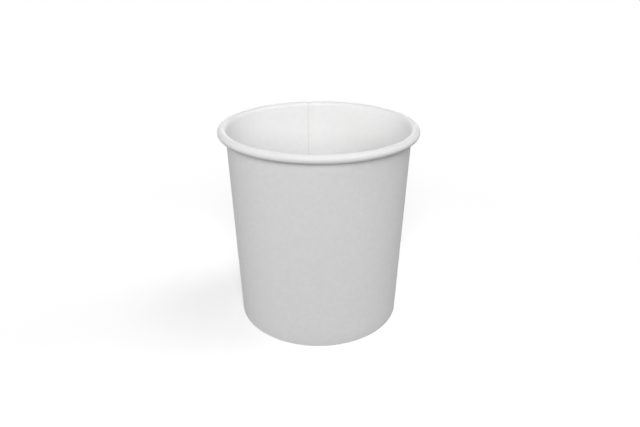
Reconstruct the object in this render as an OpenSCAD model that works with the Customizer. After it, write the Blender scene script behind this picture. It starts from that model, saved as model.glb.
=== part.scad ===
// Paper soup cup: a rolled and lapped side wall with a curled rim, and a
// bottom disc whose skirt is held in the folded-up foot of the wall.
// The origin is on the axis, on the surface that the cup stands on.

/* [Cup] */
// Outer diameter of the curled rim
rim_od = 98; // [88:0.5:115]
// Height from the table to the top of the rim
cup_h = 101; // [60:0.5:160]
// Outer diameter of the wall at the foot
base_od = 84; // [64:0.5:90]

/* [Board] */
// Thickness of the side wall board
board_t = 0.4; // [0.3:0.02:0.55]
// Thickness of the bottom board
disc_t = 0.34; // [0.25:0.01:0.5]
// Sealed coating between two layers of board
seal_gap = 0.05; // [0.02:0.01:0.1]

/* [Rim] */
// Outer diameter of the roll itself
bead_d = 4.2; // [3.6:0.1:6]
// Air between one turn of the roll and the next
curl_gap = 0.1; // [0.05:0.01:0.15]
// Sweep of the innermost turn, in degrees
tuck = 75; // [30:5:150]

/* [Side seam] */
// Width of the lap at the foot
lap_w = 7; // [4:0.5:12]
// How much the sealed lap is pressed together
lap_press = 0.03; // [0.01:0.01:0.08]
// Width of the slope by which the outer layer climbs over the inner one
ramp_w = 3; // [2:0.25:6]
// Direction of the inner cut edge, in degrees from the right-hand side
seam_dir = 98; // [0:1:359]

/* [Foot] */
// Height of the underside of the bottom above the table
floor_h = 7; // [4:0.5:14]
// Bend of the bottom into its skirt, measured at mid thickness
corner_r = 0.9; // [0.4:0.05:1.5]
// How far the folded-up edge stops below that bend
tail_drop = 0.4; // [0.2:0.1:2]
// How much of the fold is pressed flat on the table
foot_press = 0.06; // [0.02:0.01:0.1]

/* [Hidden] */
$fn = 96;

// Radii at mid thickness, and the pitch of the roll
fold_r = (board_t + disc_t) / 2 + seal_gap;
bead_r = (bead_d - board_t) / 2;
pitch = board_t + curl_gap;

// Centres of the foot fold and of the roll, as [radius, height]
fold_c = [base_od / 2 - fold_r - board_t / 2, fold_r + board_t / 2 - foot_press];
bead_c = [(rim_od - bead_d) / 2, cup_h - bead_d / 2];

// The wall is the line that touches both circles on opposite sides
span = bead_c - fold_c;
wall_len = sqrt(span * span - pow(fold_r + bead_r, 2));
wall_a = acos((fold_r + bead_r) / norm(span)) - atan2(span[1], span[0]);

// Skirt of the bottom, up to its bend, along the slope of the wall
skirt_len = (floor_h + disc_t / 2 - corner_r * (1 + sin(wall_a)) - fold_c[1]) / cos(wall_a);
bend_c = fold_c + skirt_len * [sin(wall_a), cos(wall_a)] - corner_r * [cos(wall_a), -sin(wall_a)];
tail_len = skirt_len - tail_drop;

// Side seam: what the outer layer stands out, and the angles of the lap and of each step of the slope
lap_step = board_t - lap_press;
lap_a = even(lap_w / (base_od / 2) * 180 / PI);
ramp_steps = 4;
step_a = even(ramp_w / (base_od / 2) * 180 / PI / ramp_steps);

// Value to a thousandth, so that neighbouring stretches of board meet face to face
function even(x) = round(x * 1000) / 1000;

// Smooth rise from 0 to 1
function rise(u) = u * u * (3 - 2 * u);

// Strip of board bent round its own centre, seen in section
module bend(r, t, from, sweep) {
    wedges = ceil(abs(sweep) / 45);
    fan = [for (i = [0:wedges]) bead_d * [cos(from + sweep * i / wedges), sin(from + sweep * i / wedges)]];
    intersection() {
        difference() {
            circle(r + t / 2);
            circle(r - t / 2);
        }
        polygon(concat([[0, 0]], fan));
    }
}

// Straight strip of board that runs upwards, x being its mid thickness
module strip(x, t, len) {
    translate([x - t / 2, 0]) square([t, len]);
}

// One layer of the side wall in section, moved outwards by step.
// The inside of its fold moves half as far, so that it is pressed thicker there and stands on the table.
module layer(step) {
    translate(fold_c) rotate(-wall_a) {
        strip(-fold_r - step, board_t, tail_len);
        bend(fold_r + step * 3 / 4, board_t + step / 2, 180, 180);
        strip(fold_r + step, board_t, wall_len);
        translate([fold_r + bead_r, wall_len]) {
            bend(bead_r - step, board_t, 180, -180);
            translate([pitch / 2, 0]) bend(bead_r - pitch / 2 - step, board_t, 0, -180);
            bend(bead_r - pitch - step, board_t, 180, -tuck);
        }
    }
}

// Stretch of board turned about the axis from one direction to another, cut flat at the table
module stretch(from, sweep) {
    rotate_extrude(start = from, angle = sweep) intersection() {
        children();
        square([rim_od, cup_h]);
    }
}

module sidewall() {
    color("white") {
        stretch(seam_dir, lap_a) {
            layer(0);
            layer(lap_step);
        }
        stretch(seam_dir + lap_a, 360 - lap_a - step_a * ramp_steps) layer(0);
        for (i = [1:ramp_steps]) {
            climb = even(lap_step * rise(i / (ramp_steps + 1)));
            stretch(seam_dir - step_a * (ramp_steps + 1 - i), step_a) layer(climb);
        }
    }
}

// The bend is drawn from both ends, along the skirt and along the flat, and overlaps in the middle
module bottom_disc() {
    color("whitesmoke") stretch(0, 360) translate(bend_c) {
        rotate(-wall_a) {
            translate([0, -skirt_len]) strip(corner_r, disc_t, skirt_len);
            bend(corner_r, disc_t, 0, 60);
        }
        bend(corner_r, disc_t, 90, -60);
        translate([-bend_c[0], corner_r - disc_t / 2]) square([bend_c[0], disc_t]);
    }
}

sidewall();
bottom_disc();
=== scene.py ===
import math
import bpy
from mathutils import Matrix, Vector


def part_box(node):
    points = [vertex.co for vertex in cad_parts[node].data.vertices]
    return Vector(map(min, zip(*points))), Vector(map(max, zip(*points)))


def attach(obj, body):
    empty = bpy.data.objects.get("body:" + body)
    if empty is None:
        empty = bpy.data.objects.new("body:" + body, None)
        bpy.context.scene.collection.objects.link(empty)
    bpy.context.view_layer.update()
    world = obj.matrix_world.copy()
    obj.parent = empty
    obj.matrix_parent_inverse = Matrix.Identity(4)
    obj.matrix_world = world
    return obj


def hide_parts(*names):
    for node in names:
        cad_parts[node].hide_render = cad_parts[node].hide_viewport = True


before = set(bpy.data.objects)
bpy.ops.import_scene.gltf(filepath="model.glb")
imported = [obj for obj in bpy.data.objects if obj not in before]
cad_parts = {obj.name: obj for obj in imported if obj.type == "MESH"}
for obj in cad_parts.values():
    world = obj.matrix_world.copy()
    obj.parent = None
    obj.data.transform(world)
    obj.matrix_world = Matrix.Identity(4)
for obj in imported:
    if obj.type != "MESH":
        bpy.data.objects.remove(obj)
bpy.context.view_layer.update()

mm = 0.001
weldDistance = 0.001 * mm
angleSlack = 0.001       # radians, less than the narrowest column
print("frame loaded:", sorted(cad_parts))


# Camera, set to the photograph's frame of 640 by 427

cameraSet = {
    "frameWidth": 640,
    "focalPixels": 559.46,
    "sensorWidth": 36.0,
    "distance": 292.73 * mm,
    "tiltDegrees": 24.709,      # how far it looks down
    "aim": (0.642 * mm, 0.0, 52.949 * mm),
    "clipStart": 0.01,
    "clipEnd": 50.0,
}


def placeCamera(look):
    lensData = bpy.data.cameras.new("cupCamera")
    lensData.sensor_width = look["sensorWidth"]
    lensData.lens = look["focalPixels"] / look["frameWidth"] * look["sensorWidth"]
    lensData.clip_start = look["clipStart"]
    lensData.clip_end = look["clipEnd"]
    camera = bpy.data.objects.new("cupCamera", lensData)
    tilt = math.radians(look["tiltDegrees"])
    forward = Vector((0.0, math.cos(tilt), -math.sin(tilt)))
    camera.location = Vector(look["aim"]) - forward * look["distance"]
    camera.rotation_euler = (math.pi / 2 - tilt, 0.0, 0.0)
    bpy.context.scene.collection.objects.link(camera)
    bpy.context.scene.camera = camera


placeCamera(cameraSet)
print("camera placed")


# Small helpers for node trees

def addNode(tree, kind, inputs=None, **settings):
    node = tree.nodes.new(kind)
    for name, value in settings.items():
        setattr(node, name, value)
    for name, value in (inputs or {}).items():
        if isinstance(value, bpy.types.NodeSocket):
            tree.links.new(value, node.inputs[name])
        else:
            node.inputs[name].default_value = value
    return node


def calc(tree, operation, *values):
    # one Math node; sockets are linked and numbers are typed in
    inputs = {place: value for place, value in enumerate(values)}
    return addNode(tree, "ShaderNodeMath", inputs, operation=operation).outputs[0]


def easeBetween(tree, value, fromLow, fromHigh, toLow, toHigh):
    node = addNode(tree, "ShaderNodeMapRange", {
        "Value": value, "From Min": fromLow, "From Max": fromHigh, "To Min": toLow, "To Max": toHigh,
    }, interpolation_type="SMOOTHSTEP")
    return node.outputs["Result"]


def mixColor(tree, factor, first, second):
    # the colour sockets of a Mix node share their names with its number sockets, so they go by identifier
    node = addNode(tree, "ShaderNodeMix", {"Factor": factor}, data_type="RGBA")
    for socket in node.inputs:
        value = {"A_Color": first, "B_Color": second}.get(socket.identifier)
        if isinstance(value, bpy.types.NodeSocket):
            tree.links.new(value, socket)
        elif value is not None:
            socket.default_value = value
    return next(socket for socket in node.outputs if socket.identifier == "Result_Color")


def newGeometryTree(name, sockets):
    tree = bpy.data.node_groups.new(name, "GeometryNodeTree")
    tree.interface.new_socket("Geometry", in_out="INPUT", socket_type="NodeSocketGeometry")
    for label, kind in sockets:
        tree.interface.new_socket(label, in_out="INPUT", socket_type=kind)
    tree.interface.new_socket("Geometry", in_out="OUTPUT", socket_type="NodeSocketGeometry")
    return tree, tree.nodes.new("NodeGroupInput").outputs


def addTreeModifier(piece, tree, values):
    modifier = piece.modifiers.new(tree.name, "NODES")
    modifier.node_group = tree
    for item in tree.interface.items_tree:
        if item.in_out == "INPUT" and item.name in values:
            modifier[item.identifier] = values[item.name]


def makePlain(piece, name):
    # the evaluated result becomes the piece's own mesh, with no modifier left
    depsgraph = bpy.context.evaluated_depsgraph_get()
    mesh = bpy.data.meshes.new_from_object(piece.evaluated_get(depsgraph), preserve_all_data_layers=True,
                                           depsgraph=depsgraph)
    mesh.name = name
    plain = bpy.data.objects.new(name, mesh)
    bpy.context.scene.collection.objects.link(plain)
    bpy.data.objects.remove(piece)
    return plain


# Board sections: a pen that runs straight or bends, and leaves a station at each step

def penPath(start, heading, strokes):
    # a stroke is its kind, its length or radius, its turn in degrees and its number of steps
    x, z = start
    stations = [(x, z, heading)]
    for kind, size, turn, steps in strokes:
        for step in range(steps):
            if kind == "run":
                x += math.cos(heading) * size / steps
                z += math.sin(heading) * size / steps
            else:
                # a bend of this radius about a centre on the side it turns to
                side = math.copysign(size, turn)
                centreX = x - math.sin(heading) * side
                centreZ = z + math.cos(heading) * side
                heading += math.radians(turn) / steps
                x = centreX + math.sin(heading) * side
                z = centreZ - math.cos(heading) * side
            stations.append((x, z, heading))
    return stations


def sectionObject(name, stations):
    # the mid line of the board, each point with the direction that the board's right-hand face looks
    mesh = bpy.data.meshes.new(name)
    links = [(place, place + 1) for place in range(len(stations) - 1)]
    mesh.from_pydata([(x, 0.0, z) for x, z, heading in stations], links, [])
    facing = mesh.attributes.new("facing", "FLOAT_VECTOR", "POINT")
    for place, (x, z, heading) in enumerate(stations):
        facing.data[place].vector = (math.sin(heading), 0.0, -math.cos(heading))
    piece = bpy.data.objects.new(name, mesh)
    bpy.context.scene.collection.objects.link(piece)
    return piece


def sampleSection(tree, groupIn, row, stations):
    # row runs up one face of the board and back down the other
    middle = calc(tree, "SUBTRACT", stations, 0.5)
    away = calc(tree, "ABSOLUTE", calc(tree, "SUBTRACT", row, middle))
    index = calc(tree, "MAXIMUM", calc(tree, "SUBTRACT", middle, away), 0.0)
    whole = addNode(tree, "FunctionNodeFloatToInt", {"Float": index}, rounding_mode="ROUND").outputs[0]
    position = addNode(tree, "GeometryNodeInputPosition").outputs[0]
    facing = addNode(tree, "GeometryNodeInputNamedAttribute", {"Name": "facing"},
                     data_type="FLOAT_VECTOR").outputs[0]
    found = []
    for field in (position, facing):
        sample = addNode(tree, "GeometryNodeSampleIndex", {
            "Geometry": groupIn["Geometry"], "Value": field, "Index": whole,
        }, data_type="FLOAT_VECTOR", domain="POINT")
        found.append(sample.outputs[0])
    return found[0], found[1], index


def gridPlace(tree):
    position = addNode(tree, "GeometryNodeInputPosition").outputs[0]
    return addNode(tree, "ShaderNodeSeparateXYZ", {0: position}).outputs


def turnedPosition(tree, midPoint, facing, push, angle, lowest):
    # moves a section point along its facing and turns it about the cup's axis, never below the lowest level
    moved = addNode(tree, "ShaderNodeVectorMath", {0: facing, "Scale": push}, operation="SCALE").outputs[0]
    point = addNode(tree, "ShaderNodeVectorMath", {0: midPoint, 1: moved}, operation="ADD").outputs[0]
    parts = addNode(tree, "ShaderNodeSeparateXYZ", {0: point}).outputs
    across = calc(tree, "MULTIPLY", parts["X"], calc(tree, "COSINE", angle))
    along = calc(tree, "MULTIPLY", parts["X"], calc(tree, "SINE", angle))
    height = calc(tree, "MAXIMUM", parts["Z"], lowest)
    return addNode(tree, "ShaderNodeCombineXYZ", {"X": across, "Y": along, "Z": height}).outputs[0]


def markFaces(tree, geometry, name, value):
    return addNode(tree, "GeometryNodeStoreNamedAttribute", {
        "Geometry": geometry, "Name": name, "Value": value,
    }, data_type="FLOAT", domain="FACE").outputs[0]


def finishBoard(tree, geometry, groupIn):
    # welds the coinciding points, shades, and gives the cut edges their own finish
    welded = addNode(tree, "GeometryNodeMergeByDistance", {
        "Geometry": geometry, "Distance": weldDistance,
    }).outputs[0]
    smooth = addNode(tree, "GeometryNodeSetShadeSmooth", {"Geometry": welded}).outputs[0]
    real = addNode(tree, "GeometryNodeRealizeInstances", {"Geometry": smooth}).outputs[0]
    coated = addNode(tree, "GeometryNodeSetMaterial", {
        "Geometry": real, "Material": groupIn["Board"],
    }).outputs[0]
    cut = addNode(tree, "GeometryNodeInputNamedAttribute", {"Name": "cutEdge"}, data_type="FLOAT").outputs[0]
    chosen = addNode(tree, "FunctionNodeCompare", {0: cut, 1: 0.5}, data_type="FLOAT",
                     operation="GREATER_THAN").outputs[0]
    edged = addNode(tree, "GeometryNodeSetMaterial", {
        "Geometry": coated, "Selection": chosen, "Material": groupIn["Cut Edge"],
    }).outputs[0]
    addNode(tree, "NodeGroupOutput", {"Geometry": edged})


# Finishes

boardSet = {
    # inner is the face that the food meets, and the rim that it curls into
    "innerLight": (0.935, 0.935, 0.932, 1.0),
    "innerDark": (0.910, 0.910, 0.907, 1.0),
    "outerLight": (0.835, 0.835, 0.833, 1.0),
    "outerDark": (0.800, 0.800, 0.798, 1.0),
    "cutLight": (0.84, 0.82, 0.78, 1.0),
    "cutDark": (0.72, 0.69, 0.63, 1.0),
    "mottleSize": 2.2 * mm,
    "fibreSize": 0.22 * mm,
    "outerRoughness": 0.62,
    "innerRoughness": 0.48,
    "sheen": 0.40,               # how strongly the coating mirrors, 0.5 being plain plastic
    "bumpDepth": 0.010 * mm,
    # painted shade along the seam: its tone, and how far it darkens the board
    "seamShadeTone": (0.45, 0.44, 0.42, 1.0),
    "seamShadeStrength": 0.22,
    "wallSpread": 0.10,          # how much the roughness varies
    "bottomSpread": 0.14,
    "cutSpread": 0.05,
    "wallBump": 0.5,
    "bottomBump": 0.6,
    "cutBump": 1.0,
    "cutSheen": 0.2,
    "cloudShare": 0.6,           # the rest of the mottling is fine fibre
    "contrast": (0.35, 0.65),    # the stretch of the noise that runs from dark to light
}


def makeGrainGroup(values):
    # fibre mottling for all the boards: soft clouds, fine fibres and the bump that goes with them
    tree = bpy.data.node_groups.new("boardGrain", "ShaderNodeTree")
    for label, kind in (("Light", "NodeSocketColor"), ("Dark", "NodeSocketColor"),
                        ("Cloud Scale", "NodeSocketFloat"), ("Fibre Scale", "NodeSocketFloat"),
                        ("Roughness Base", "NodeSocketFloat"), ("Roughness Spread", "NodeSocketFloat")):
        tree.interface.new_socket(label, in_out="INPUT", socket_type=kind)
    for label, kind in (("Color", "NodeSocketColor"), ("Roughness", "NodeSocketFloat"),
                        ("Height", "NodeSocketFloat")):
        tree.interface.new_socket(label, in_out="OUTPUT", socket_type=kind)
    groupIn = tree.nodes.new("NodeGroupInput").outputs
    place = addNode(tree, "ShaderNodeTexCoord").outputs["Object"]
    cloud = addNode(tree, "ShaderNodeTexNoise", {
        "Vector": place, "Scale": groupIn["Cloud Scale"], "Detail": 3.0, "Roughness": 0.55,
    }).outputs[0]
    fibre = addNode(tree, "ShaderNodeTexNoise", {
        "Vector": place, "Scale": groupIn["Fibre Scale"], "Detail": 4.0, "Roughness": 0.65, "Distortion": 0.6,
    }).outputs[0]
    cloudPart = calc(tree, "MULTIPLY", cloud, values["cloudShare"])
    fibrePart = calc(tree, "MULTIPLY", fibre, 1 - values["cloudShare"])
    blend = calc(tree, "ADD", cloudPart, fibrePart)
    spread = easeBetween(tree, blend, *values["contrast"], 0.0, 1.0)
    mixed = mixColor(tree, spread, groupIn["Dark"], groupIn["Light"])
    rough = calc(tree, "MULTIPLY_ADD", calc(tree, "SUBTRACT", cloud, 0.5), groupIn["Roughness Spread"],
                 groupIn["Roughness Base"])
    addNode(tree, "NodeGroupOutput", {"Color": mixed, "Roughness": rough, "Height": blend})
    return tree


grainGroup = makeGrainGroup(boardSet)


def grainNode(tree, values, light, dark, roughnessSpread):
    grain = addNode(tree, "ShaderNodeGroup", node_tree=grainGroup)
    for label, value in (("Cloud Scale", 1 / values["mottleSize"]), ("Fibre Scale", 1 / values["fibreSize"]),
                         ("Roughness Base", values["outerRoughness"]), ("Roughness Spread", roughnessSpread)):
        grain.inputs[label].default_value = value
    for label, value in (("Light", light), ("Dark", dark)):
        if isinstance(value, bpy.types.NodeSocket):
            tree.links.new(value, grain.inputs[label])
        else:
            grain.inputs[label].default_value = value
    return grain


def boardMaterial(name, values, roughnessSpread, bumpStrength):
    material = bpy.data.materials.new(name)
    material.use_nodes = True
    tree = material.node_tree
    shader = tree.nodes["Principled BSDF"]
    # the face that the food meets has the whiter and smoother coating
    # the attribute also carries painted shade over the curled rim, which moves its colour and roughness
    # towards the outer face's
    inner = addNode(tree, "ShaderNodeAttribute", attribute_name="innerCoatAndRimShade").outputs["Fac"]
    light = mixColor(tree, inner, values["outerLight"], values["innerLight"])
    dark = mixColor(tree, inner, values["outerDark"], values["innerDark"])
    grain = grainNode(tree, values, light, dark, roughnessSpread)
    change = values["innerRoughness"] - values["outerRoughness"]
    rough = calc(tree, "MULTIPLY_ADD", inner, change, grain.outputs["Roughness"])
    bump = addNode(tree, "ShaderNodeBump", {
        "Strength": bumpStrength, "Distance": values["bumpDepth"], "Height": grain.outputs["Height"],
    }).outputs[0]
    # painted shade beside the lap's cut edges darkens the colour
    line = addNode(tree, "ShaderNodeAttribute", attribute_name="seamPaintedShade").outputs["Fac"]
    shade = calc(tree, "MULTIPLY", line, values["seamShadeStrength"])
    shaded = mixColor(tree, shade, grain.outputs["Color"], values["seamShadeTone"])
    tree.links.new(shaded, shader.inputs["Base Color"])
    tree.links.new(rough, shader.inputs["Roughness"])
    tree.links.new(bump, shader.inputs["Normal"])
    shader.inputs["Specular IOR Level"].default_value = values["sheen"]
    return material


def cutMaterial(name, values):
    # the raw edge of the board, where no coating covers the fibres
    material = bpy.data.materials.new(name)
    material.use_nodes = True
    tree = material.node_tree
    shader = tree.nodes["Principled BSDF"]
    grain = grainNode(tree, values, values["cutLight"], values["cutDark"], values["cutSpread"])
    bump = addNode(tree, "ShaderNodeBump", {
        "Strength": values["cutBump"], "Distance": values["bumpDepth"], "Height": grain.outputs["Height"],
    }).outputs[0]
    tree.links.new(grain.outputs["Color"], shader.inputs["Base Color"])
    tree.links.new(grain.outputs["Roughness"], shader.inputs["Roughness"])
    tree.links.new(bump, shader.inputs["Normal"])
    shader.inputs["Specular IOR Level"].default_value = values["cutSheen"]
    return material


coatedBoard = boardMaterial("coatedBoard", boardSet, boardSet["wallSpread"], boardSet["wallBump"])
bottomBoard = boardMaterial("bottomBoard", boardSet, boardSet["bottomSpread"], boardSet["bottomBump"])
cutBoard = cutMaterial("cutBoard", boardSet)
print("finishes made")


# Side wall: one blank, rolled with a lap, curled at the rim and folded at the foot

sideWall = {
    "footDiameter": 84 * mm,
    "boardThickness": 0.40 * mm,
    "discThickness": 0.34 * mm,
    "sealGap": 0.05 * mm,
    "rollDiameter": 4.2 * mm,
    "curlGap": 0.10 * mm,
    "tuckDegrees": 75,
    "lapWidth": 7 * mm,
    "climbWidth": 3 * mm,
    "seamDegrees": 98,
    "footPress": 0.06 * mm,
    "tailDrop": 0.4 * mm,
    "bendRadius": 0.9 * mm,
    "columns": 480,
    "gather": -0.6,            # crowds the columns towards the seam
    "pressKeep": 0.3,          # what is left of the lap's step under the foot
    "pressHeight": 1.6 * mm,
    "innerLift": 0.02 * mm,    # how far the lap's inner layer keeps off the table
    "seamShadeWidth": 0.9 * mm,     # painted shade beside a cut edge
    "rollBlend": 5,            # stations over which the rim takes on its painted shade
    "rollPaintedShade": 0.45,         # painted shade over the curled rim: 1 is as white as the inside, 0 as grey as the outside
}


def cupSection(wall):
    # the measures that the side wall and the bottom share
    low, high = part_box("sidewall")
    rimReach = min(high.x, high.y, -low.x, -low.y)
    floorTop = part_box("bottom_disc")[1].z
    foldRadius = (wall["boardThickness"] + wall["discThickness"]) / 2 + wall["sealGap"]
    rollRadius = (wall["rollDiameter"] - wall["boardThickness"]) / 2
    outerFold = foldRadius + wall["boardThickness"] / 2
    fold = Vector((wall["footDiameter"] / 2 - outerFold, outerFold - wall["footPress"]))
    roll = Vector((rimReach - wall["rollDiameter"] / 2, high.z - wall["rollDiameter"] / 2))
    span = roll - fold
    lean = math.acos((foldRadius + rollRadius) / span.length) - math.atan2(span.y, span.x)
    wallLength = math.sqrt(span.length_squared - (foldRadius + rollRadius) ** 2)
    up = Vector((math.sin(lean), math.cos(lean)))
    out = Vector((math.cos(lean), -math.sin(lean)))
    floorMiddle = floorTop - wall["discThickness"] / 2
    skirtLength = (floorMiddle - wall["bendRadius"] * (1 + math.sin(lean)) - fold.y) / math.cos(lean)
    return {
        "fold": fold, "foldRadius": foldRadius, "rollRadius": rollRadius, "lean": lean, "up": up, "out": out,
        "wallLength": wallLength, "skirtLength": skirtLength, "floorMiddle": floorMiddle,
    }


def makeRollTree():
    tree, groupIn = newGeometryTree("rollBlank", (
        ("Columns", "NodeSocketInt"), ("Stations", "NodeSocketInt"),
        ("Board Thickness", "NodeSocketFloat"), ("Seam Direction", "NodeSocketFloat"),
        ("Lap Sweep", "NodeSocketFloat"), ("Climb Sweep", "NodeSocketFloat"),
        ("Press Height", "NodeSocketFloat"), ("Press Keep", "NodeSocketFloat"),
        ("Gather", "NodeSocketFloat"), ("Seam Shade Sweep", "NodeSocketFloat"),
        ("Inner Lift", "NodeSocketFloat"), ("Roll Start", "NodeSocketInt"),
        ("Roll Blend", "NodeSocketInt"), ("Roll Painted Shade", "NodeSocketFloat"),
        ("Board", "NodeSocketMaterial"), ("Cut Edge", "NodeSocketMaterial")))
    columns, stations = groupIn["Columns"], groupIn["Stations"]
    lastColumn = calc(tree, "SUBTRACT", columns, 1.0)
    widthCount = calc(tree, "ADD", columns, 1.0)
    heightCount = calc(tree, "MULTIPLY", stations, 2.0)
    blank = addNode(tree, "GeometryNodeMeshGrid", {
        "Size X": widthCount, "Size Y": heightCount, "Vertices X": calc(tree, "ADD", columns, 2.0),
        "Vertices Y": calc(tree, "ADD", heightCount, 1.0),
    }).outputs[0]
    flat = gridPlace(tree)
    fromLeft = calc(tree, "ADD", flat["X"], calc(tree, "DIVIDE", widthCount, 2.0))
    column = calc(tree, "SUBTRACT", fromLeft, 1.0)
    row = calc(tree, "ADD", flat["Y"], stations)
    # faces across the board's thickness: both side cuts, and both ends of the section
    # a face counts as half-way between its corners, so the limits lie clear of whole and half numbers
    edgeSlack = 0.1
    before = calc(tree, "LESS_THAN", column, -edgeSlack)
    after = calc(tree, "GREATER_THAN", column, calc(tree, "ADD", lastColumn, edgeSlack))
    sideCap = calc(tree, "ADD", before, after)
    endCap = calc(tree, "LESS_THAN", calc(tree, "MODULO", calc(tree, "ADD", row, 0.75), stations), 0.5)
    backFace = calc(tree, "GREATER_THAN", row, calc(tree, "SUBTRACT", stations, 0.5))
    lastRow = calc(tree, "GREATER_THAN", row, calc(tree, "SUBTRACT", heightCount, 0.5))
    marked = markFaces(tree, blank, "cutEdge", calc(tree, "MAXIMUM", sideCap, endCap))
    # up one face of the section and down the other; the curled rim gets painted shade, a little greyer than
    # the inside
    midPoint, facing, index = sampleSection(tree, groupIn, row, stations)
    rollEnd = calc(tree, "ADD", groupIn["Roll Start"], groupIn["Roll Blend"])
    tone = easeBetween(tree, index, groupIn["Roll Start"], rollEnd, 1.0, groupIn["Roll Painted Shade"])
    marked = markFaces(tree, marked, "innerCoatAndRimShade", calc(tree, "MULTIPLY", backFace, tone))
    # round the cup, with the columns crowded where the layers climb
    share = addNode(tree, "ShaderNodeClamp", {"Value": calc(tree, "DIVIDE", column, lastColumn)}).outputs[0]
    wave = calc(tree, "SINE", calc(tree, "MULTIPLY", share, 2 * math.pi))
    bent = calc(tree, "MULTIPLY", wave, calc(tree, "DIVIDE", groupIn["Gather"], 2 * math.pi))
    sweep = calc(tree, "ADD", groupIn["Lap Sweep"], 2 * math.pi)
    angle = calc(tree, "MULTIPLY_ADD", calc(tree, "ADD", share, bent), sweep, groupIn["Seam Direction"])
    overlapStart = calc(tree, "ADD", groupIn["Seam Direction"], 2 * math.pi)
    climbStart = calc(tree, "SUBTRACT", overlapStart, groupIn["Climb Sweep"])
    lapRise = easeBetween(tree, angle, climbStart, overlapStart, 0.0, groupIn["Board Thickness"])
    # painted shade: a thin dark line where a cut edge lies on the layer beneath it
    lapEnd = calc(tree, "ADD", groupIn["Seam Direction"], groupIn["Lap Sweep"])
    lineStart = calc(tree, "SUBTRACT", overlapStart, groupIn["Seam Shade Sweep"])
    insideLine = easeBetween(tree, angle, lineStart, overlapStart, 0.0, 1.0)
    lineEnd = calc(tree, "ADD", lapEnd, groupIn["Seam Shade Sweep"])
    outsideLine = easeBetween(tree, angle, lapEnd, lineEnd, 1.0, 0.0)
    line = calc(tree, "ADD", calc(tree, "MULTIPLY", insideLine, backFace),
                calc(tree, "MULTIPLY", outsideLine, calc(tree, "SUBTRACT", 1.0, backFace)))
    marked = addNode(tree, "GeometryNodeStoreNamedAttribute", {
        "Geometry": marked, "Name": "seamPaintedShade", "Value": line,
    }, data_type="FLOAT", domain="POINT").outputs[0]
    level = addNode(tree, "ShaderNodeSeparateXYZ", {0: midPoint}).outputs["Z"]
    pressed = easeBetween(tree, level, 0.0, groupIn["Press Height"], groupIn["Press Keep"], 1.0)
    side = calc(tree, "MULTIPLY_ADD", calc(tree, "SUBTRACT", lastRow, backFace), 2.0, 1.0)
    half = calc(tree, "MULTIPLY", calc(tree, "MULTIPLY", groupIn["Board Thickness"], 0.5),
                calc(tree, "SUBTRACT", 1.0, sideCap))
    push = calc(tree, "MULTIPLY_ADD", lapRise, pressed, calc(tree, "MULTIPLY", side, half))
    # the inner layer of the lap keeps just off the table, on which the outer one stands
    within = calc(tree, "LESS_THAN", angle, calc(tree, "ADD", lapEnd, angleSlack))
    lowest = calc(tree, "MULTIPLY", within, groupIn["Inner Lift"])
    rolled = addNode(tree, "GeometryNodeSetPosition", {
        "Geometry": marked, "Position": turnedPosition(tree, midPoint, facing, push, angle, lowest),
    }).outputs[0]
    finishBoard(tree, rolled, groupIn)
    return tree


def makeSideWall(wall, ribs, cut):
    tailLength = cut["skirtLength"] - wall["tailDrop"]
    start = cut["fold"] - cut["out"] * cut["foldRadius"] + cut["up"] * tailLength
    pitch = wall["boardThickness"] + wall["curlGap"]
    strokes = [
        ("run", tailLength, 0, 3),
        ("bend", cut["foldRadius"], 180, 12),
        ("run", cut["wallLength"], 0, 16),
        ("bend", cut["rollRadius"], -180, 16),
        ("bend", cut["rollRadius"] - pitch / 2, -180, 12),
        ("bend", cut["rollRadius"] - pitch, -wall["tuckDegrees"], 5),
    ]
    stations = penPath(start, -math.pi / 2 - cut["lean"], strokes)
    # the rim starts after the folded-up edge, the fold and the straight wall
    rollStart = sum(steps for kind, size, turn, steps in strokes[:3])
    footRadius = wall["footDiameter"] / 2
    piece = sectionObject("sideWallSection", stations)
    addTreeModifier(piece, makeRollTree(), {
        "Columns": wall["columns"], "Stations": len(stations), "Board Thickness": wall["boardThickness"],
        "Seam Direction": math.radians(wall["seamDegrees"]), "Lap Sweep": wall["lapWidth"] / footRadius,
        "Climb Sweep": wall["climbWidth"] / footRadius, "Press Height": wall["pressHeight"],
        "Press Keep": wall["pressKeep"], "Gather": wall["gather"], "Inner Lift": wall["innerLift"],
        "Seam Shade Sweep": wall["seamShadeWidth"] / footRadius,
        "Roll Start": rollStart, "Roll Blend": wall["rollBlend"], "Roll Painted Shade": wall["rollPaintedShade"],
        "Board": coatedBoard, "Cut Edge": cutBoard,
    })
    addTreeModifier(piece, makeRibTree(ribs), {
        "Count": ribs["count"], "Level": ribs["level"], "Length": ribs["length"], "Width": ribs["width"],
        "Depth": ribs["depth"], "Lean": cut["lean"], "Board": coatedBoard,
    })
    return makePlain(piece, "side_wall")


# Ribs that the sealing wheel presses into the folded-up edge, seen from below

footRibs = {
    "count": 168,
    "level": 3.2 * mm,
    "length": 3.8 * mm,
    "width": 0.7 * mm,
    "depth": 0.09 * mm,
    "reach": 60 * mm,
    "ringSegments": 8,
    "rings": 6,
}


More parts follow.
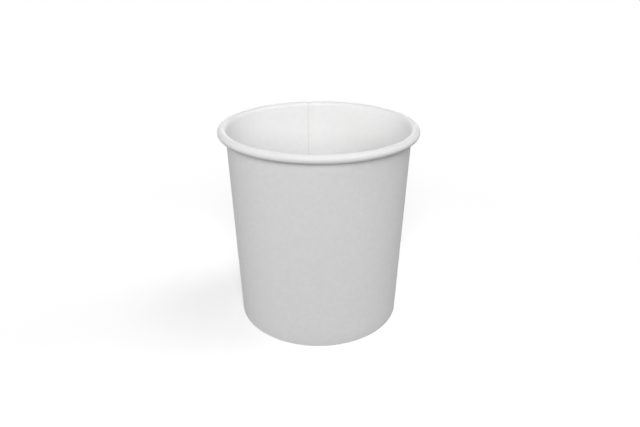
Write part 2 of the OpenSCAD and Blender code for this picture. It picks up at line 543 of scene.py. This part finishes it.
def makeRibTree(ribs):
    tree, groupIn = newGeometryTree("pressRibs", (
        ("Count", "NodeSocketInt"), ("Level", "NodeSocketFloat"), ("Length", "NodeSocketFloat"),
        ("Width", "NodeSocketFloat"), ("Depth", "NodeSocketFloat"), ("Lean", "NodeSocketFloat"),
        ("Board", "NodeSocketMaterial")))
    ring = addNode(tree, "GeometryNodeMeshCircle", {"Vertices": groupIn["Count"], "Radius": 1.0}).outputs[0]
    place = addNode(tree, "GeometryNodeInputIndex").outputs[0]
    angle = calc(tree, "MULTIPLY", calc(tree, "DIVIDE", place, groupIn["Count"]), 2 * math.pi)
    outward = addNode(tree, "ShaderNodeCombineXYZ", {
        "X": calc(tree, "COSINE", angle), "Y": calc(tree, "SINE", angle),
    }).outputs[0]
    axisPoint = addNode(tree, "ShaderNodeCombineXYZ", {"Z": groupIn["Level"]}).outputs[0]
    ray = addNode(tree, "GeometryNodeRaycast", {
        "Target Geometry": groupIn["Geometry"], "Source Position": axisPoint, "Ray Direction": outward,
        "Ray Length": ribs["reach"],
    }).outputs
    placed = addNode(tree, "GeometryNodeSetPosition", {
        "Geometry": ring, "Selection": ray["Is Hit"], "Position": ray["Hit Position"],
    }).outputs[0]
    ball = addNode(tree, "GeometryNodeMeshUVSphere", {
        "Segments": ribs["ringSegments"], "Rings": ribs["rings"], "Radius": 0.5,
    }).outputs["Mesh"]
    size = addNode(tree, "ShaderNodeCombineXYZ", {
        "X": calc(tree, "MULTIPLY", groupIn["Depth"], 2.0), "Y": groupIn["Width"], "Z": groupIn["Length"],
    }).outputs[0]
    turn = addNode(tree, "ShaderNodeCombineXYZ", {"Y": groupIn["Lean"], "Z": angle}).outputs[0]
    rotation = addNode(tree, "FunctionNodeEulerToRotation", {0: turn}).outputs[0]
    ribbed = addNode(tree, "GeometryNodeInstanceOnPoints", {
        "Points": placed, "Instance": ball, "Rotation": rotation, "Scale": size,
    }).outputs[0]
    smooth = addNode(tree, "GeometryNodeSetShadeSmooth", {"Geometry": ribbed}).outputs[0]
    real = addNode(tree, "GeometryNodeRealizeInstances", {"Geometry": smooth}).outputs[0]
    dressed = addNode(tree, "GeometryNodeSetMaterial", {
        "Geometry": real, "Material": groupIn["Board"],
    }).outputs[0]
    join = tree.nodes.new("GeometryNodeJoinGeometry")
    tree.links.new(groupIn["Geometry"], join.inputs[0])
    tree.links.new(dressed, join.inputs[0])
    addNode(tree, "NodeGroupOutput", {"Geometry": join.outputs[0]})
    return tree


# Bottom: a disc with its edge turned down into a skirt

bottomDisc = {
    "columns": 480,
    "pleatDepth": 0.07 * mm,
    "pleatScale": 22.0,        # how closely the creases follow each other round the bend
    "pleatGain": 4.0,          # how sharply they rise
}


def makeDiscTree(disc):
    tree, groupIn = newGeometryTree("turnDisc", (
        ("Columns", "NodeSocketInt"), ("Stations", "NodeSocketInt"), ("Board Thickness", "NodeSocketFloat"),
        ("Pleat Depth", "NodeSocketFloat"), ("Pleat Scale", "NodeSocketFloat"),
        ("Board", "NodeSocketMaterial"), ("Cut Edge", "NodeSocketMaterial")))
    columns, stations = groupIn["Columns"], groupIn["Stations"]
    rows = calc(tree, "MULTIPLY", stations, 2.0)
    heightCount = calc(tree, "SUBTRACT", rows, 1.0)
    blank = addNode(tree, "GeometryNodeMeshGrid", {
        "Size X": columns, "Size Y": heightCount,
        "Vertices X": calc(tree, "ADD", columns, 1.0), "Vertices Y": rows,
    }).outputs[0]
    flat = gridPlace(tree)
    column = calc(tree, "ADD", flat["X"], calc(tree, "DIVIDE", columns, 2.0))
    row = calc(tree, "ADD", flat["Y"], calc(tree, "DIVIDE", heightCount, 2.0))
    away = calc(tree, "ABSOLUTE", calc(tree, "SUBTRACT", row, calc(tree, "SUBTRACT", stations, 0.5)))
    backFace = calc(tree, "GREATER_THAN", row, calc(tree, "SUBTRACT", stations, 0.5))
    marked = markFaces(tree, blank, "cutEdge", calc(tree, "LESS_THAN", away, 0.1))
    marked = markFaces(tree, marked, "innerCoatAndRimShade", backFace)
    angle = calc(tree, "MULTIPLY", calc(tree, "DIVIDE", column, columns), 2 * math.pi)
    midPoint, facing = sampleSection(tree, groupIn, row, stations)[:2]
    side = calc(tree, "MULTIPLY_ADD", backFace, -2.0, 1.0)
    push = calc(tree, "MULTIPLY", side, calc(tree, "MULTIPLY", groupIn["Board Thickness"], 0.5))
    # the flat board gathers into small creases where it bends down, always towards the inside of the bend
    ringPoint = addNode(tree, "ShaderNodeCombineXYZ", {
        "X": calc(tree, "COSINE", angle), "Y": calc(tree, "SINE", angle),
    }).outputs[0]
    noise = addNode(tree, "ShaderNodeTexNoise", {
        "Vector": ringPoint, "Scale": groupIn["Pleat Scale"], "Detail": 1.0,
    }).outputs[0]
    # the noise lies about a half, and its distance from there makes the creases
    fromHalf = calc(tree, "MULTIPLY_ADD", noise, disc["pleatGain"], -disc["pleatGain"] / 2)
    crease = calc(tree, "ABSOLUTE", fromHalf)
    look = addNode(tree, "ShaderNodeSeparateXYZ", {0: facing}).outputs
    slant = calc(tree, "MULTIPLY", look["X"], look["Z"])
    bendShare = calc(tree, "ABSOLUTE", calc(tree, "MULTIPLY", slant, 2.0))
    pleat = calc(tree, "MULTIPLY", calc(tree, "MULTIPLY", crease, bendShare), groupIn["Pleat Depth"])
    push = calc(tree, "ADD", push, pleat)
    turned = addNode(tree, "GeometryNodeSetPosition", {
        "Geometry": marked, "Position": turnedPosition(tree, midPoint, facing, push, angle, 0.0),
    }).outputs[0]
    finishBoard(tree, turned, groupIn)
    return tree


def makeBottom(disc, wall, cut):
    bendX = (cut["fold"] + cut["up"] * cut["skirtLength"] - cut["out"] * wall["bendRadius"]).x
    stations = penPath((0.0, cut["floorMiddle"]), 0.0, [
        ("run", bendX, 0, 6),
        ("bend", wall["bendRadius"], -90 - math.degrees(cut["lean"]), 8),
        ("run", cut["skirtLength"], 0, 4),
    ])
    piece = sectionObject("bottomSection", stations)
    addTreeModifier(piece, makeDiscTree(disc), {
        "Columns": disc["columns"], "Stations": len(stations), "Board Thickness": wall["discThickness"],
        "Pleat Depth": disc["pleatDepth"], "Pleat Scale": disc["pleatScale"],
        "Board": bottomBoard, "Cut Edge": cutBoard,
    })
    return makePlain(piece, "bottom_panel")


section = cupSection(sideWall)
wallPiece = makeSideWall(sideWall, footRibs, section)
print("side wall rolled:", len(wallPiece.data.polygons), "faces")
bottomPiece = makeBottom(bottomDisc, sideWall, section)
print("bottom turned:", len(bottomPiece.data.polygons), "faces")

sharpDegrees = 50
for piece in (wallPiece, bottomPiece):
    piece.data.set_sharp_from_angle(angle=math.radians(sharpDegrees))
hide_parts("sidewall")
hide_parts("bottom_disc")
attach(wallPiece, "root")
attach(bottomPiece, "root")


# Floor, light and background

stageSet = {
    "floorSize": 12.0,
    "floorRoughness": 0.9,
    "floorSeen": (0.90, 0.90, 0.90, 1.0),
    "floorFar": (0.0, 0.0, 0.0, 1.0),       # far from the cup, the floor shows only its own glow
    "floorBounce": (0.10, 0.10, 0.10, 1.0),  # the floor sends hardly any light back up to the cup
    "glowNear": 0.33,                       # thins the shadow that the camera sees
    "glowFar": 1.0,
    "fadeStart": 0.08,                      # distances from the cup's axis, in metres
    "fadeEnd": 0.26,
    "backgroundLevel": 1.0,
    "softDegrees": 35,
    "lamps": {
        # azimuth 0 is the camera's side and 90 the right; level is how bright a white card facing it gets
        "frontKey": {"azimuth": 0, "elevation": 29, "level": 0.86, "distance": 1.4},
        "leftFill": {"azimuth": 262, "elevation": 14, "level": 0.32},
        "rightTop": {"azimuth": 98, "elevation": 68, "level": 0.22},
        "rightFill": {"azimuth": 104, "elevation": 28, "level": 0.22},
        "rearFill": {"azimuth": 180, "elevation": 8, "level": 0.30},
    },
    "keyAim": (0.0, -45 * mm, 50 * mm),     # the middle of the front wall
}


def seenDirectly(tree):
    # 1 for rays of the camera, and for those that a shiny or clear thing passes on to it
    rays = addNode(tree, "ShaderNodeLightPath").outputs
    direct = calc(tree, "MAXIMUM", rays["Is Camera Ray"], rays["Is Glossy Ray"])
    return calc(tree, "MAXIMUM", direct, rays["Is Transmission Ray"])


def makeFloor(stage):
    mesh = bpy.data.meshes.new("floor")
    half = stage["floorSize"] / 2
    corners = [(-half, -half, 0.0), (half, -half, 0.0), (half, half, 0.0), (-half, half, 0.0)]
    mesh.from_pydata(corners, [], [(0, 1, 2, 3)])
    material = bpy.data.materials.new("floorPaint")
    material.use_nodes = True
    tree = material.node_tree
    shader = tree.nodes["Principled BSDF"]
    seen = seenDirectly(tree)
    place = addNode(tree, "ShaderNodeTexCoord").outputs["Object"]
    reach = addNode(tree, "ShaderNodeVectorMath", {0: place}, operation="LENGTH").outputs["Value"]
    far = easeBetween(tree, reach, stage["fadeStart"], stage["fadeEnd"], 0.0, 1.0)
    shown = mixColor(tree, far, stage["floorSeen"], stage["floorFar"])
    glow = calc(tree, "MULTIPLY_ADD", far, stage["glowFar"] - stage["glowNear"], stage["glowNear"])
    tree.links.new(mixColor(tree, seen, stage["floorBounce"], shown), shader.inputs["Base Color"])
    tree.links.new(calc(tree, "MULTIPLY", seen, glow), shader.inputs["Emission Strength"])
    shader.inputs["Emission Color"].default_value = (1.0, 1.0, 1.0, 1.0)
    shader.inputs["Roughness"].default_value = stage["floorRoughness"]
    shader.inputs["Specular IOR Level"].default_value = 0.0
    mesh.materials.append(material)
    floor = bpy.data.objects.new("floor", mesh)
    bpy.context.scene.collection.objects.link(floor)


def makeBackground(stage):
    world = bpy.data.worlds.new("studio")
    world.use_nodes = True
    tree = world.node_tree
    background = tree.nodes["Background"]
    tree.links.new(calc(tree, "MULTIPLY", seenDirectly(tree), stage["backgroundLevel"]),
                   background.inputs["Strength"])
    background.inputs["Color"].default_value = (1.0, 1.0, 1.0, 1.0)
    bpy.context.scene.world = world


def makeLamp(name, lamp, stage):
    # a lamp with a distance is a round soft box; the others shine alike on everything
    azimuth = math.radians(lamp["azimuth"])
    elevation = math.radians(lamp["elevation"])
    towards = Vector((math.sin(azimuth) * math.cos(elevation), -math.cos(azimuth) * math.cos(elevation),
                      math.sin(elevation)))
    spread = math.radians(stage["softDegrees"])
    distance = lamp.get("distance")
    light = bpy.data.lights.new(name, "AREA" if distance else "SUN")
    holder = bpy.data.objects.new(name, light)
    if distance:
        light.shape = "DISK"
        light.size = 2 * distance * math.tan(spread / 2)
        light.energy = lamp["level"] * (math.pi * distance) ** 2
        holder.location = Vector(stage["keyAim"]) + towards * distance
    else:
        light.angle = spread
        light.energy = lamp["level"] * math.pi
    holder.rotation_euler = towards.to_track_quat("Z", "Y").to_euler()
    bpy.context.scene.collection.objects.link(holder)


makeFloor(stageSet)
makeBackground(stageSet)
for lampName, lampValues in stageSet["lamps"].items():
    makeLamp(lampName, lampValues, stageSet)
bpy.context.scene.view_settings.view_transform = "Standard"
print("studio lit")
